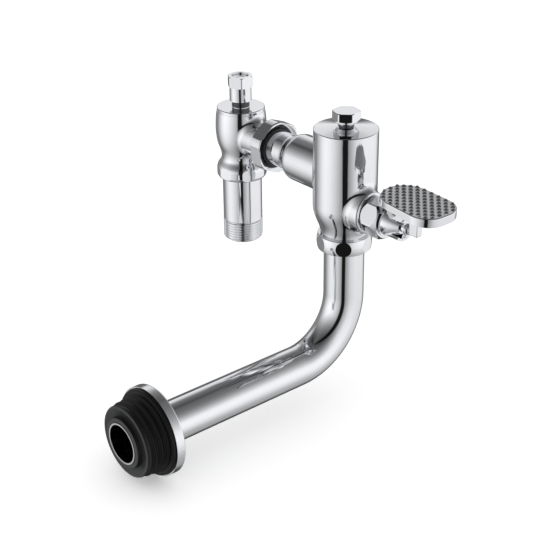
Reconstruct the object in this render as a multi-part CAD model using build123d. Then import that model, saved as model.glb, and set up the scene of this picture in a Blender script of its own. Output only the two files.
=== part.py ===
from build123d import *
import os
from math import cos, radians, sin, sqrt, tan

# Foot-pedal flush valve with its angle stop, bent flush pipe and rubber pan spud.
# Millimetres, +Z up. The origin is the centre of the supply tail's lower end, on the stop's axis.
# The valve stands beside the stop along +X, the pedal points along +X, the flush pipe runs out along -Y.

os.makedirs("parts", exist_ok=True)

# Clearances
fit_gap = 0.05        # radial, pieces screwed or pushed into each other
run_gap = 0.05        # radial, shafts that turn or slide
drive_gap = 0.1       # radial, drive screws in their nuts
seat_gap = 0.3        # between faces of pieces that move against each other

# Layout
axis_spacing = 126.3  # stop axis to valve axis
union_z = 93.8        # axis of the union and the inlet branch
rod_z = 72.4          # axis of the pedal boss and the push rod
outlet_z = -55.0      # axis of the level part of the flush pipe
outlet_reach = 216.35 # valve axis to the flush pipe's end
pin_reach = 58.7      # valve axis to the pedal's pivot pin
pedal_reach = 76.5    # valve axis to the middle of the tread

# Supply tail
tail_r = 16.625       # G1 male thread, major radius
tail_bore_r = 13.0
tail_grip = 10.0      # length screwed into the bell
tail_plain_r = 16.45
thread_length = 18.0
tail_chamfer = 1.0
gasket_t = 1.5

# Stop body
stop_base_z = 55.5
bell_r = 20.8
bell_edge_r = 3.7
bell_side_h = 8.0
flat_across = 40.0
flat_h = 15.5
flat_turn = -21.8
neck_r = 16.7
neck_h = 18.6
waist_r = 19.1
waist_h = 28.5
belly_r = 21.1
belly_h = 44.3
shoulder_r = 20.0
shoulder_h = 58.2
stop_way_r = 12.0
stop_seat_h = 29.5    # top of the web that carries the seat
stop_web_t = 3.5
stop_seat_hole_r = 8.5
stop_seat_lip = 1.5
stop_seat_lip_h = 1.0
chamber_r = 15.6
outlet_neck_r = 14.6
outlet_neck_end = 36.0
outlet_way_r = 8.7
outlet_fillet = 6.0
blend_room = 12.0     # extra metal that is cut off again after a blend is made

# Stop bonnet and its seals
bonnet_t = 2.8
bonnet_r = 19.75
bonnet_edge_r = 0.9
bonnet_skirt = 10.9
bonnet_web_t = 3.1
bonnet_neck_r = 7.35
bonnet_neck_h = 8.5
bonnet_seal_w = 2.0
bonnet_seal_t = 1.0
seal_t = 2.0
seal_w = 1.5

# Stop spindle, plunger and cap
plunger_lift = 3.0
plunger_across = 17.0
plunger_flange_r = 11.5
plunger_flange_t = 4.7
plunger_floor_t = 1.5
washer_t = 3.0
washer_r = 11.3
washer_screw_head_r = 3.6
washer_screw_head_t = 1.5
spindle_r = 4.0
spindle_collar_r = 6.0
spindle_collar_t = 1.2
drive_screw_r = 3.0
square_across = 5.6
stop_cap_gap_z = 4.4  # bonnet face to the sleeve's lower edge
sleeve_r = 9.0
sleeve_h = 12.8
sleeve_chamfer = 1.0
stop_hex_across = 19.2
stop_hex_h = 9.0
stop_hex_turn = -32.5
slot_turn = 74.0
cap_recess_r = 6.95
cap_recess_depth = 4.5
cap_web_t = 2.2
cap_screw_head_r = 6.6
cap_screw_head_t = 3.0
cap_screw_r = 1.5
cap_screw_length = 9.0
slot_w = 1.3
slot_depth = 1.1

# Union
union_thread_r = 16.6
union_thread_start = 34.0
union_thread_end = 40.4
union_nut_across = 40.2
union_nut_back = 37.0
union_nut_length = 11.6
union_nut_turn = 9.3
union_round_r = 21.6
union_bevel_r = 20.9
union_slope = 55.0
union_lip_t = 4.6
union_lip_r = 15.8
union_sink_r = 19.7
union_sink_t = 3.2
packing_t = 2.4
slip_collar_t = 3.6

# Inlet branch of the valve body
inlet_r = 14.2
inlet_bore_r = 11.8
inlet_start = 28.0
inlet_play = 3.0      # room to slide the pipe further into the stop
branch_start = 63.2
branch_full = 76.6
branch_r = 19.0
branch_bore_r = 14.0
branch_fillet = 1.6

# Valve body
body_top_z = 128.5
body_r = 24.85
taper_top_z = 72.0
taper_mid_r = 21.5
taper_mid_z = 58.0
spigot_r = 18.8
spigot_shoulder_z = 48.0
spigot_end_z = 41.4
barrel_r = 17.0       # inside, below the main seat
pipe_stop_t = 2.0
pipe_stop_lip = 1.3
seat_shelf_z = 76.3
cylinder_r = 20.9     # piston bore
cover_thread_r = 22.45
cover_thread_depth = 8.5
cover_seal_w = 1.15
cover_seal_t = 1.2

# Pedal boss
boss_r = 16.5
boss_face = 30.0      # valve axis to the boss face
boss_socket_r = 11.0
boss_socket_depth = 7.7
boss_hole_r = 3.2
boss_fillet = 7.0
boss_edge_r = 2.0

# Cover and flush regulator
cover_t = 4.0
cover_edge_r = 0.8
cover_rise = 2.3      # shallow cone from the rim up to the neck
cover_wall = 2.2
cover_neck_r = 6.0
cover_neck_h = 3.7
limiter_across = 28.0
limiter_t = 2.5
limiter_travel = 2.0
shoulder_disc_r = 6.0
shoulder_disc_t = 1.2
regulator_seal_w = 1.2
cap_collar_r = 9.2
cap_collar_h = 3.3
cap_collar_bevel = 2.3
cap_hex_across = 19.0
cap_hex_h = 6.7
cap_hex_turn = 43.5
cap_socket_depth = 6.8
hex_bevel = 1.0       # bevel circle inside the hexagon's corners
hex_slope = 30.0      # bevel to the hexagon's face, degrees
hex_edge_r = 1.5      # rounding of the hexagon's upright edges

# Main seat and piston
seat_ring_t = 2.2
seat_ring_hole_r = 13.0
seat_lip_w = 2.0
seat_lip_h = 0.8
piston_lift = 6.0
main_washer_r = 16.5
main_washer_t = 2.0
washer_hub_r = 8.0
washer_clamp_r = 12.2
washer_clamp_t = 3.0
washer_thread_h = 5.0
piston_disc_t = 2.4
piston_tube_r = 9.5
piston_bore_r = 6.9
piston_top_t = 3.5
piston_top_r = 18.5
piston_room = 0.7     # raised piston to the cover's skirt
cup_t = 3.0
cup_seal_gap = 0.05
cup_hub_r = 7.95
cup_clamp_r = 16.0
cup_clamp_t = 2.0
passage_r = 6.0
relief_hole_r = 4.0
jet_r = 1.5
jet_bore_r = 0.5
jet_offset = 12.0

# Relief valve
relief_r = 6.5
relief_washer_t = 1.4
relief_head_t = 1.4
relief_stem_r = 1.5
relief_tip_below = 3.9  # stem tip below the rod axis

# Pedal gland, bracket and push rod
gland_across = 28.0
gland_bevel_r = 13.5
gland_bevel_slope = 60.0
gland_turn = -85.0
gland_length = 17.5
gland_washer_t = 0.5
gland_washer_r = 13.5
gland_cavity_r = 8.5
gland_wall = 2.5
nose_collar_r = 12.0
nose_collar_t = 1.3
nose_r = 10.8
nose_slope = 0.22     # narrowing per mm just beyond the collar
nose_end_slope = 0.6
nose_length = 13.6
nose_end_r = 5.0
tongue_foot_r = 1.5
rod_seal_inset = 2.0
lip_r = 10.3
lip_inner_r = 8.3
lip_length = 15.5
lip_half_angle = 48.0
rod_r = 3.5
rod_pin_r = 2.0
rod_collar_r = 7.0
rod_collar_t = 1.5
rod_travel = 3.5
rod_head_r = 4.5
rod_head_length = 4.4
rod_head_groove_r = 3.7
rod_head_dome = 0.95   # share of the head's radius that its end rounding takes
spring_wire_r = 0.5
spring_mean_r = 5.6
spring_turns = 5
spring_length = 10.0

# Pedal
pedal_z = 97.73       # top of the tread at its middle
pedal_tilt = 3.06     # outer end lower
heel_r = 20.0
heel_offset = -10.5
toe_r = 16.5
toe_offset = 12.5
toe_spread = 4.0
rim_heel_t = 4.4
rim_toe_t = 7.0
rim_wall = 3.0
skin_t = 2.6
plate_edge_r = 1.0
stud_pitch = 5.0
stud_across = 3.6     # square foot of a stud
stud_tip_across = 0.7
stud_h = 1.2
stud_margin = 0.6
pin_z = 86.0
pin_r = 2.5
pin_overhang = 1.6
ear_eye_r = 5.3
ear_t = 3.5
ear_reach = 8.5       # pin to the ear's outer lower corner
tongue_half = 4.3
tongue_eye_r = 5.0
lug_length = 8.3
lug_half = 2.85
lug_bottom_z = 70.3
lug_edge_r = 0.8
clip_t = 0.8
clip_r = 4.2
clip_groove = 0.5

# Coupling nut, flush pipe, flange and spud
pipe_r = 16.0
pipe_wall = 1.2
bend_r = 50.0
pipe_grip = 14.0      # flush pipe inside the spigot
coupling_r = 21.7     # sphere of the barrel
coupling_low_z = 34.8
coupling_high_z = 47.3
coupling_edge_r = 0.8
coupling_flat = 20.8
coupling_turn = -44.6
coupling_floor_t = 1.6
coupling_ring_t = 1.5
flange_r = 34.9
flange_inset = 32.15  # flush pipe's end to the flange's back
flange_depth = 7.8
flange_wall = 1.0
flange_edge_r = 1.6
spud_inset = 2.25     # flush pipe's end to the spud's face
spud_r = 27.8
spud_lip_length = 6.0
spud_lip_inner_r = 23.8
spud_groove_depth = 15.0
spud_collar_r = 18.3
spud_root_r = 25.4
spud_rib_r = 27.3
spud_rib_pitch = 4.5
spud_ribs = 3
spud_rib_t = 2.2
spud_disc_r = 33.6
spud_disc_inset = 19.3
spud_edge_r = 0.9

# Heights and stations that follow from the sizes above
tail_top_z = stop_base_z + tail_grip
stop_top_z = stop_base_z + shoulder_h
bonnet_top_z = stop_top_z + bonnet_t
bonnet_skirt_z = stop_top_z - bonnet_skirt
bonnet_web_z = stop_top_z - bonnet_web_t
bonnet_neck_z = bonnet_top_z + bonnet_neck_h
bonnet_seal_z = bonnet_top_z - seal_t / 2
stop_seat_z = stop_base_z + stop_seat_h
stop_lip_z = stop_seat_z + stop_seat_lip_h
washer_z = stop_lip_z + seat_gap + plunger_lift
plunger_z = washer_z + washer_t
plunger_hex_z = plunger_z + plunger_flange_t
spindle_collar_z = bonnet_web_z - seat_gap - spindle_collar_t
plunger_top_z = spindle_collar_z - seat_gap
plunger_bore_z = plunger_hex_z + plunger_floor_t
stop_sleeve_z = bonnet_top_z + stop_cap_gap_z
stop_hex_z = stop_sleeve_z + sleeve_h
stop_cap_top_z = stop_hex_z + stop_hex_h
stop_cap_web_z = bonnet_neck_z + seat_gap
cap_floor_z = stop_cap_top_z - cap_recess_depth
cover_top_z = body_top_z + cover_t
cover_neck_z = cover_top_z + cover_neck_h
cover_inside_z = cover_top_z - cover_wall
cover_skirt_z = body_top_z - cover_thread_depth
shoulder_disc_z = cover_inside_z - seat_gap - shoulder_disc_t
limiter_z = shoulder_disc_z - seat_gap - limiter_t
regulating_cap_z = cover_neck_z + seat_gap
cap_hex_z = regulating_cap_z + cap_collar_h
cap_top_z = cap_hex_z + cap_hex_h
cap_socket_z = regulating_cap_z + cap_socket_depth
seat_ring_top_z = seat_shelf_z + seat_ring_t
main_washer_z = seat_ring_top_z + seat_lip_h + seat_gap
piston_disc_z = main_washer_z + main_washer_t
cup_z = cover_skirt_z - piston_room - piston_lift - cup_clamp_t - cup_t
piston_top_z = cup_z - piston_top_t
cup_clamp_z = cup_z + cup_t
cup_clamp_top_z = cup_clamp_z + cup_clamp_t
relief_z = cup_clamp_top_z + seat_gap
relief_head_z = relief_z + relief_washer_t
relief_tip_z = rod_z - relief_tip_below
pin_x = axis_spacing + pin_reach
pedal_x = axis_spacing + pedal_reach
gland_x = axis_spacing + boss_face + gland_washer_t
gland_face_x = gland_x + gland_length
gland_inner_x = axis_spacing + boss_face - boss_socket_depth
spring_seat_x = gland_inner_x + gland_wall
spring_end_x = spring_seat_x + run_gap + spring_length
rod_collar_x = spring_end_x + rod_travel + seat_gap
bracket_x = rod_collar_x + rod_collar_t + seat_gap
nose_x = gland_face_x + nose_collar_t
nose_end_x = nose_x + nose_length
rod_tip_x = axis_spacing + relief_stem_r + seat_gap
rod_shoulder_x = spring_seat_x + rod_travel + 2 * seat_gap
rod_seal_x = bracket_x + rod_seal_inset
rod_head_x = nose_end_x + rod_travel + seat_gap
rod_end_x = rod_head_x + rod_head_length
lug_x = rod_end_x + seat_gap
ear_inner = tongue_half + seat_gap
ear_outer = ear_inner + ear_t
coupling_floor_z = coupling_low_z + coupling_floor_t
coupling_seal_z = coupling_floor_z + coupling_ring_t
pipe_top_z = spigot_end_z + pipe_grip
union_nut_end = union_nut_back + union_nut_length
spud_front = outlet_reach - spud_inset
spud_disc_front = spud_front - spud_disc_inset
flange_back = outlet_reach - flange_inset
union_lip_x = union_nut_end - union_lip_t
slip_ring_x = union_thread_end + packing_t


def post(radius, z0, z1):
    """Round bar on Z between two heights."""
    return Pos(0, 0, z0) * Cylinder(radius, z1 - z0, align=(Align.CENTER, Align.CENTER, Align.MIN))


def ring(outer, inner, z0, z1):
    """Plain ring on Z between two heights."""
    return post(outer, z0, z1) - post(inner, z0, z1)


def prism(across_flats, sides, z0, z1, turn=0.0):
    """Regular prism on Z, given across its flats."""
    outline = RegularPolygon(across_flats / 2, sides, major_radius=False)
    return Pos(0, 0, z0) * Rot(0, 0, turn) * extrude(outline, z1 - z0)


def lathe(points):
    """Turns a closed outline of (radius, height) points about Z."""
    outline = Polyline(*[(radius, 0, height) for radius, height in points], close=True)
    return revolve(make_face(outline), Axis.Z)


def turned(curves):
    """Turns a closed outline of joined curves in XZ about Z."""
    return revolve(make_face([edge for curve in curves for edge in curve.edges()]), Axis.Z)


def bevelled_hex(across_flats, z0, z1, turn, bevel_r, slope=hex_slope, round_r=None):
    """Hexagon with rounded upright edges, cut back to a circle and bevelled at both ends."""
    block = prism(across_flats, 6, z0, z1, turn)
    block = fillet(block.edges().filter_by(Axis.Z), hex_edge_r)
    corner_r = round_r or across_flats / sqrt(3)
    drop = (corner_r - bevel_r) * tan(radians(slope))
    barrel = lathe([
        (0, z0),
        (bevel_r, z0),
        (corner_r, z0 + drop),
        (corner_r, z1 - drop),
        (bevel_r, z1),
        (0, z1),
    ])
    return block & barrel


def along_x(shape, x, z):
    """Lays a piece that was made on Z along +X."""
    return Pos(x, 0, z) * Rot(0, 90, 0) * shape


def along_outlet(shape):
    """Lays a piece that was made on Z along -Y, on the level part of the flush pipe."""
    return Pos(axis_spacing, 0, outlet_z) * Rot(90, 0, 0) * shape


def hull_plate(circles, thickness):
    """Upright plate in XZ, the hull of (x, z, radius) circles, from y = 0 towards -Y."""
    edges = [edge for x, z, radius in circles for edge in (Pos(x, z) * Circle(radius)).edges()]
    return Rot(90, 0, 0) * extrude(make_hull(edges), thickness)


def at_valve(shape):
    """Moves a piece that was made on Z to the valve's axis."""
    return Pos(axis_spacing, 0, 0) * shape


def crossing_edges(shape, x_low, x_high, z, reach):
    """Edges where a branch along X meets a body, found by where their middle lies."""
    found = []
    for edge in shape.edges():
        if edge.geom_type in (GeomType.LINE, GeomType.CIRCLE):
            continue
        middle = edge.position_at(0.5)
        if x_low < middle.X < x_high and abs(middle.Z - z) < reach and edge.length > reach / 3:
            found.append(edge)
    return found


def stop_body():
    base = stop_base_z
    corner = bell_edge_r * (1 - sqrt(0.5))
    raised_top_z = stop_top_z + blend_room
    outline = [
        Polyline((0, 0, raised_top_z), (0, 0, base), (bell_r - bell_edge_r, 0, base)),
        ThreePointArc(
            (bell_r - bell_edge_r, 0, base),
            (bell_r - corner, 0, base + corner),
            (bell_r, 0, base + bell_edge_r),
        ),
        Line((bell_r, 0, base + bell_edge_r), (bell_r, 0, base + bell_side_h)),
        Spline(
            (bell_r, 0, base + bell_side_h),
            (neck_r, 0, base + neck_h),
            tangents=((0, 0, 1), (0, 0, 1)),
        ),
        Spline(
            (neck_r, 0, base + neck_h),
            (waist_r, 0, base + waist_h),
            (belly_r, 0, base + belly_h),
            (shoulder_r, 0, stop_top_z),
            tangents=((0, 0, 1), (-0.14, 0, 1)),
        ),
        Polyline(
            (shoulder_r, 0, stop_top_z),
            (shoulder_r - 0.14 * blend_room, 0, raised_top_z),
            (0, 0, raised_top_z),
        ),
    ]
    shape = turned(outline)
    flat = Pos(flat_across / 2, 0, base) * Box(
        bell_r, 2 * bell_r, flat_h, align=(Align.MIN, Align.CENTER, Align.MIN)
    )
    shape -= [Rot(0, 0, flat_turn + 60 * k) * flat for k in range(6)]
    neck = along_x(post(outlet_neck_r, 0, outlet_neck_end), 0, union_z)
    shape += neck
    joint = crossing_edges(shape, 0, belly_r, union_z, outlet_neck_r / 2)
    shape = fillet(joint, outlet_fillet)
    shape -= post(2 * belly_r, stop_top_z, raised_top_z)
    shape += along_x(post(union_thread_r, union_thread_start, union_thread_end), 0, union_z)
    inside = [
        post(tail_plain_r + fit_gap, base, tail_top_z + gasket_t),
        post(stop_way_r, base, stop_seat_z - stop_web_t),
        post(stop_seat_hole_r, base, stop_top_z),
        post(chamber_r, stop_seat_z, stop_top_z)
        - ring(stop_seat_hole_r + stop_seat_lip, stop_seat_hole_r, stop_seat_z, stop_lip_z),
        post(chamber_r + bonnet_seal_w + 2 * fit_gap, stop_top_z - bonnet_seal_t, stop_top_z),
        along_x(post(outlet_way_r, chamber_r - outlet_way_r, union_thread_end), 0, union_z),
        along_x(post(inlet_r + fit_gap, inlet_start - inlet_play, union_thread_end), 0, union_z),
    ]
    return shape - inside


def inlet_tail():
    return lathe([
        (tail_bore_r + tail_chamfer, 0),
        (tail_r, 0),
        (tail_r, thread_length),
        (tail_plain_r, thread_length),
        (tail_plain_r, tail_top_z),
        (tail_bore_r, tail_top_z),
        (tail_bore_r, tail_chamfer),
    ])


def tail_gasket():
    return ring(tail_plain_r - fit_gap, tail_bore_r, tail_top_z, tail_top_z + gasket_t)


def stop_bonnet():
    flange = post(bonnet_r, stop_top_z, bonnet_top_z)
    flange = fillet(flange.edges().group_by(Axis.Z)[-1], bonnet_edge_r)
    shape = flange + post(chamber_r - fit_gap, bonnet_skirt_z, stop_top_z)
    shape += post(bonnet_neck_r, bonnet_top_z, bonnet_neck_z)
    shape -= prism(plunger_across + 2 * seat_gap, 6, bonnet_skirt_z, bonnet_web_z)
    shape -= post(spindle_r + run_gap, bonnet_web_z, bonnet_neck_z)
    groove_r = spindle_r + seal_w + 3 * run_gap
    return shape - post(groove_r, bonnet_seal_z - run_gap, bonnet_seal_z + seal_t + run_gap)


def stop_bonnet_seal():
    inner = chamber_r + fit_gap
    return ring(inner + bonnet_seal_w, inner, stop_top_z - bonnet_seal_t + fit_gap, stop_top_z)


def stop_spindle_seal():
    inner = spindle_r + run_gap
    return ring(inner + seal_w, inner, bonnet_seal_z, bonnet_seal_z + seal_t)


def stop_spindle():
    square_top = cap_floor_z - cap_web_t - seat_gap
    shape = post(drive_screw_r, plunger_bore_z + seat_gap, spindle_collar_z)
    shape += post(spindle_collar_r, spindle_collar_z, spindle_collar_z + spindle_collar_t)
    shape += post(spindle_r, spindle_collar_z, bonnet_neck_z + seat_gap)
    shape += prism(square_across, 4, bonnet_neck_z, square_top)
    hole_z = cap_floor_z - cap_screw_length - seat_gap
    return shape - post(cap_screw_r + fit_gap, hole_z, square_top)


def stop_cap():
    shape = post(sleeve_r, stop_sleeve_z, stop_hex_z)
    shape = chamfer(shape.edges().group_by(Axis.Z)[0], sleeve_chamfer)
    corner_r = stop_hex_across / sqrt(3)
    bevel = corner_r - hex_bevel
    shape += bevelled_hex(stop_hex_across, stop_hex_z, stop_cap_top_z, stop_hex_turn, bevel)
    shape -= post(bonnet_neck_r + seat_gap, stop_sleeve_z, stop_cap_web_z)
    shape -= prism(square_across + 2 * fit_gap, 4, stop_cap_web_z, cap_floor_z - cap_web_t)
    shape -= post(cap_screw_r + fit_gap, stop_cap_web_z, cap_floor_z)
    return shape - post(cap_recess_r, cap_floor_z, stop_cap_top_z)


def stop_cap_screw():
    head_z = cap_floor_z + cap_screw_head_t
    shape = post(cap_screw_head_r, cap_floor_z, head_z)
    shape += post(cap_screw_r, cap_floor_z - cap_screw_length, cap_floor_z)
    slot = Pos(0, 0, head_z - slot_depth) * Rot(0, 0, slot_turn) * Box(
        3 * cap_screw_head_r, slot_w, slot_depth, align=(Align.CENTER, Align.CENTER, Align.MIN)
    )
    return shape - slot


def stop_plunger():
    shape = post(plunger_flange_r, plunger_z, plunger_hex_z)
    shape += prism(plunger_across, 6, plunger_hex_z, plunger_top_z)
    shape -= post(drive_screw_r + drive_gap, plunger_bore_z, plunger_top_z)
    return shape - post(cap_screw_r + fit_gap, plunger_z, plunger_hex_z)


def stop_washer():
    return ring(washer_r, cap_screw_r + fit_gap, washer_z, plunger_z)


def stop_washer_screw():
    shape = post(washer_screw_head_r, washer_z - washer_screw_head_t, washer_z)
    return shape + post(cap_screw_r, washer_z, plunger_hex_z - seat_gap)


def union_nut():
    shape = bevelled_hex(
        union_nut_across,
        union_nut_back,
        union_nut_end,
        union_nut_turn,
        union_bevel_r,
        union_slope,
        union_round_r,
    )
    shape -= post(union_thread_r + fit_gap, union_nut_back, union_lip_x)
    shape -= post(union_lip_r, union_lip_x, union_nut_end)
    shape -= lathe([
        (0, union_nut_end - union_sink_t),
        (union_lip_r, union_nut_end - union_sink_t),
        (union_sink_r, union_nut_end),
        (0, union_nut_end),
    ])
    return along_x(shape, 0, union_z)


def union_packing():
    return along_x(
        ring(union_thread_r - fit_gap, inlet_r + fit_gap, union_thread_end, slip_ring_x), 0, union_z
    )


def union_slip_ring():
    inner = inlet_r + fit_gap
    shape = ring(union_thread_r - fit_gap, inner, slip_ring_x, union_lip_x)
    shape += ring(union_lip_r - seat_gap, inner, union_lip_x, union_lip_x + slip_collar_t)
    return along_x(shape, 0, union_z)


def inlet_branch(solid_end):
    """Outside of the inlet pipe, its swelling and the branch, on Z."""
    outline = [
        Polyline(
            (0, 0, solid_end), (0, 0, inlet_start), (inlet_r, 0, inlet_start), (inlet_r, 0, branch_start)
        ),
        Spline(
            (inlet_r, 0, branch_start),
            (branch_r, 0, branch_full),
            tangents=((0, 0, 1), (0, 0, 1)),
        ),
        Polyline((branch_r, 0, branch_full), (branch_r, 0, solid_end), (0, 0, solid_end)),
    ]
    return turned(outline)


def valve_body():
    outline = [
        Polyline(
            (0, 0, body_top_z),
            (0, 0, spigot_end_z),
            (spigot_r, 0, spigot_end_z),
            (spigot_r, 0, spigot_shoulder_z),
        ),
        Spline(
            (spigot_r, 0, spigot_shoulder_z),
            (taper_mid_r, 0, taper_mid_z),
            (body_r, 0, taper_top_z),
            tangents=((0.05, 0, 1), (0, 0, 1)),
        ),
        Polyline((body_r, 0, taper_top_z), (body_r, 0, body_top_z), (0, 0, body_top_z)),
    ]
    shape = at_valve(turned(outline))
    shape += along_x(inlet_branch(axis_spacing), 0, union_z)
    joint = crossing_edges(shape, branch_full, axis_spacing, union_z, branch_r)
    shape = fillet(joint, branch_fillet)
    face_x = axis_spacing + boss_face
    raised_x = face_x + blend_room
    shape += along_x(post(boss_r, axis_spacing, raised_x), 0, rod_z)
    joint = crossing_edges(shape, axis_spacing, face_x, rod_z, boss_r)
    shape = fillet(joint, boss_fillet)
    shape -= along_x(post(2 * boss_r, face_x, raised_x), 0, rod_z)
    rim = shape.edges().filter_by(lambda edge: abs(edge.center().X - face_x) < fit_gap)
    shape = fillet(rim, boss_edge_r)
    ledge_z = pipe_top_z + seat_gap
    inside = [
        at_valve(post(pipe_r + fit_gap, spigot_end_z, ledge_z)),
        at_valve(post(pipe_r - pipe_stop_lip, spigot_end_z, ledge_z + pipe_stop_t)),
        at_valve(post(barrel_r, ledge_z + pipe_stop_t, seat_shelf_z)),
        at_valve(post(cylinder_r, seat_shelf_z, cover_skirt_z)),
        at_valve(post(cover_thread_r, cover_skirt_z, body_top_z)),
        at_valve(post(cover_thread_r + cover_seal_w, body_top_z - cover_seal_t, body_top_z)),
        along_x(post(inlet_bore_r, inlet_start, axis_spacing), 0, union_z),
        along_x(
            lathe([
                (0, branch_start),
                (inlet_bore_r, branch_start),
                (branch_bore_r, branch_full),
                (branch_bore_r, axis_spacing),
                (0, axis_spacing),
            ]),
            0,
            union_z,
        ),
        along_x(post(boss_hole_r, axis_spacing, face_x), 0, rod_z),
        along_x(post(boss_socket_r, face_x - boss_socket_depth, face_x), 0, rod_z),
    ]
    return shape - inside


def body_cover():
    plate = lathe([
        (0, body_top_z),
        (body_r, body_top_z),
        (body_r, cover_top_z),
        (cover_neck_r, cover_top_z + cover_rise),
        (0, cover_top_z + cover_rise),
    ])
    plate = fillet(plate.edges().filter_by(GeomType.CIRCLE).group_by(Axis.Z)[-2], cover_edge_r)
    shape = plate + post(cover_thread_r - fit_gap, cover_skirt_z, body_top_z)
    shape += post(cover_neck_r, cover_top_z, cover_neck_z)
    shape -= prism(limiter_across + 2 * seat_gap, 6, cover_skirt_z, cover_inside_z)
    shape -= post(spindle_r + run_gap, cover_inside_z, cover_neck_z)
    groove_r = spindle_r + regulator_seal_w + 2 * run_gap
    shape -= post(groove_r, cover_top_z - run_gap, cover_top_z + seal_t + run_gap)
    return at_valve(shape)


def cover_seal():
    inner = cover_thread_r + fit_gap
    outer = cover_thread_r + cover_seal_w - fit_gap
    return at_valve(ring(outer, inner, body_top_z - cover_seal_t + fit_gap, body_top_z))


def regulating_seal():
    inner = spindle_r + run_gap
    return at_valve(ring(inner + regulator_seal_w, inner, cover_top_z, cover_top_z + seal_t))


def regulating_spindle():
    shape = post(drive_screw_r, limiter_z - limiter_travel, shoulder_disc_z)
    shape += post(shoulder_disc_r, shoulder_disc_z, shoulder_disc_z + shoulder_disc_t)
    shape += post(spindle_r, shoulder_disc_z, cover_neck_z + seat_gap / 2)
    shape += prism(square_across, 4, cover_neck_z, cap_socket_z - seat_gap)
    return at_valve(shape)


def regulating_cap():
    collar = post(cap_collar_r, regulating_cap_z, cap_hex_z)
    collar = chamfer(collar.edges().group_by(Axis.Z)[0], cap_collar_bevel)
    bevel = cap_hex_across / sqrt(3) - hex_bevel
    shape = collar + bevelled_hex(cap_hex_across, cap_hex_z, cap_top_z, cap_hex_turn, bevel)
    shape -= prism(square_across + 2 * fit_gap, 4, regulating_cap_z, cap_socket_z)
    return at_valve(shape)


def stroke_limiter():
    shape = prism(limiter_across, 6, limiter_z, limiter_z + limiter_t)
    return at_valve(shape - post(drive_screw_r + drive_gap, limiter_z, limiter_z + limiter_t))


def seat_ring():
    shape = ring(cylinder_r - fit_gap, seat_ring_hole_r, seat_shelf_z, seat_ring_top_z)
    lip_z = seat_ring_top_z + seat_lip_h
    return at_valve(shape + ring(seat_ring_hole_r + seat_lip_w, seat_ring_hole_r, seat_ring_top_z, lip_z))


def piston():
    shape = post(main_washer_r, piston_disc_z, piston_disc_z + piston_disc_t)
    shape += post(piston_tube_r, piston_disc_z, piston_top_z)
    shape += post(piston_top_r, piston_top_z, cup_z)
    shape -= post(piston_bore_r, piston_disc_z, cup_z)
    shape -= post(cup_hub_r, piston_top_z, cup_z)
    shape -= Pos(0, jet_offset, 0) * post(jet_r + fit_gap, piston_top_z, cup_z)
    return at_valve(shape)


def main_seat_washer():
    return at_valve(ring(main_washer_r, washer_hub_r, main_washer_z, piston_disc_z))


def washer_retainer():
    top = piston_disc_z + washer_thread_h
    shape = post(washer_clamp_r, main_washer_z - washer_clamp_t, main_washer_z)
    shape += post(washer_hub_r - fit_gap, main_washer_z, piston_disc_z)
    shape += post(piston_bore_r - fit_gap, piston_disc_z, top)
    return at_valve(shape - post(passage_r, main_washer_z - washer_clamp_t, top))


def piston_cup():
    shape = ring(cylinder_r - cup_seal_gap, cup_hub_r + fit_gap, cup_z, cup_clamp_z)
    return at_valve(shape - Pos(0, jet_offset, 0) * post(jet_r + fit_gap, cup_z, cup_clamp_z))


def cup_retainer():
    shape = post(cup_clamp_r, cup_clamp_z, cup_clamp_top_z)
    shape += post(cup_hub_r - fit_gap, piston_top_z, cup_clamp_z)
    shape -= post(passage_r, piston_top_z, cup_clamp_z)
    shape -= post(relief_hole_r, cup_clamp_z, cup_clamp_top_z)
    return at_valve(shape - Pos(0, jet_offset, 0) * post(jet_r + fit_gap, cup_clamp_z, cup_clamp_top_z))


def refill_jet():
    shape = ring(jet_r, jet_bore_r, piston_top_z, cup_clamp_top_z)
    return at_valve(Pos(0, jet_offset, 0) * shape)


def relief_valve():
    shape = post(relief_r, relief_head_z, relief_head_z + relief_head_t)
    stem = post(relief_stem_r, relief_tip_z, relief_head_z)
    return at_valve(shape + stem)


def relief_washer():
    return at_valve(ring(relief_r, relief_stem_r + fit_gap, relief_z, relief_head_z))


def gland_washer():
    face = axis_spacing + boss_face
    return along_x(ring(gland_washer_r, boss_socket_r, face, gland_x), 0, rod_z)


def pedal_gland():
    shape = bevelled_hex(
        gland_across, gland_x, gland_face_x, gland_turn, gland_bevel_r, gland_bevel_slope
    )
    shape += post(boss_socket_r - fit_gap, gland_inner_x, gland_x)
    shape -= post(gland_cavity_r, spring_seat_x, gland_face_x)
    return along_x(shape - post(rod_pin_r + seat_gap, gland_inner_x, spring_seat_x), 0, rod_z)


def rod_spring():
    start = spring_seat_x + run_gap + spring_wire_r
    height = spring_length - 2 * spring_wire_r
    path = Pos(0, 0, start) * Helix(height / spring_turns, height, spring_mean_r)
    wire = Plane(origin=path @ 0, z_dir=path % 0) * Circle(spring_wire_r)
    return along_x(sweep(wire, path=path), 0, rod_z)


def rod_seal():
    inner = rod_r + run_gap
    return along_x(ring(inner + seal_w, inner, rod_seal_x, rod_seal_x + seal_t), 0, rod_z)


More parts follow.
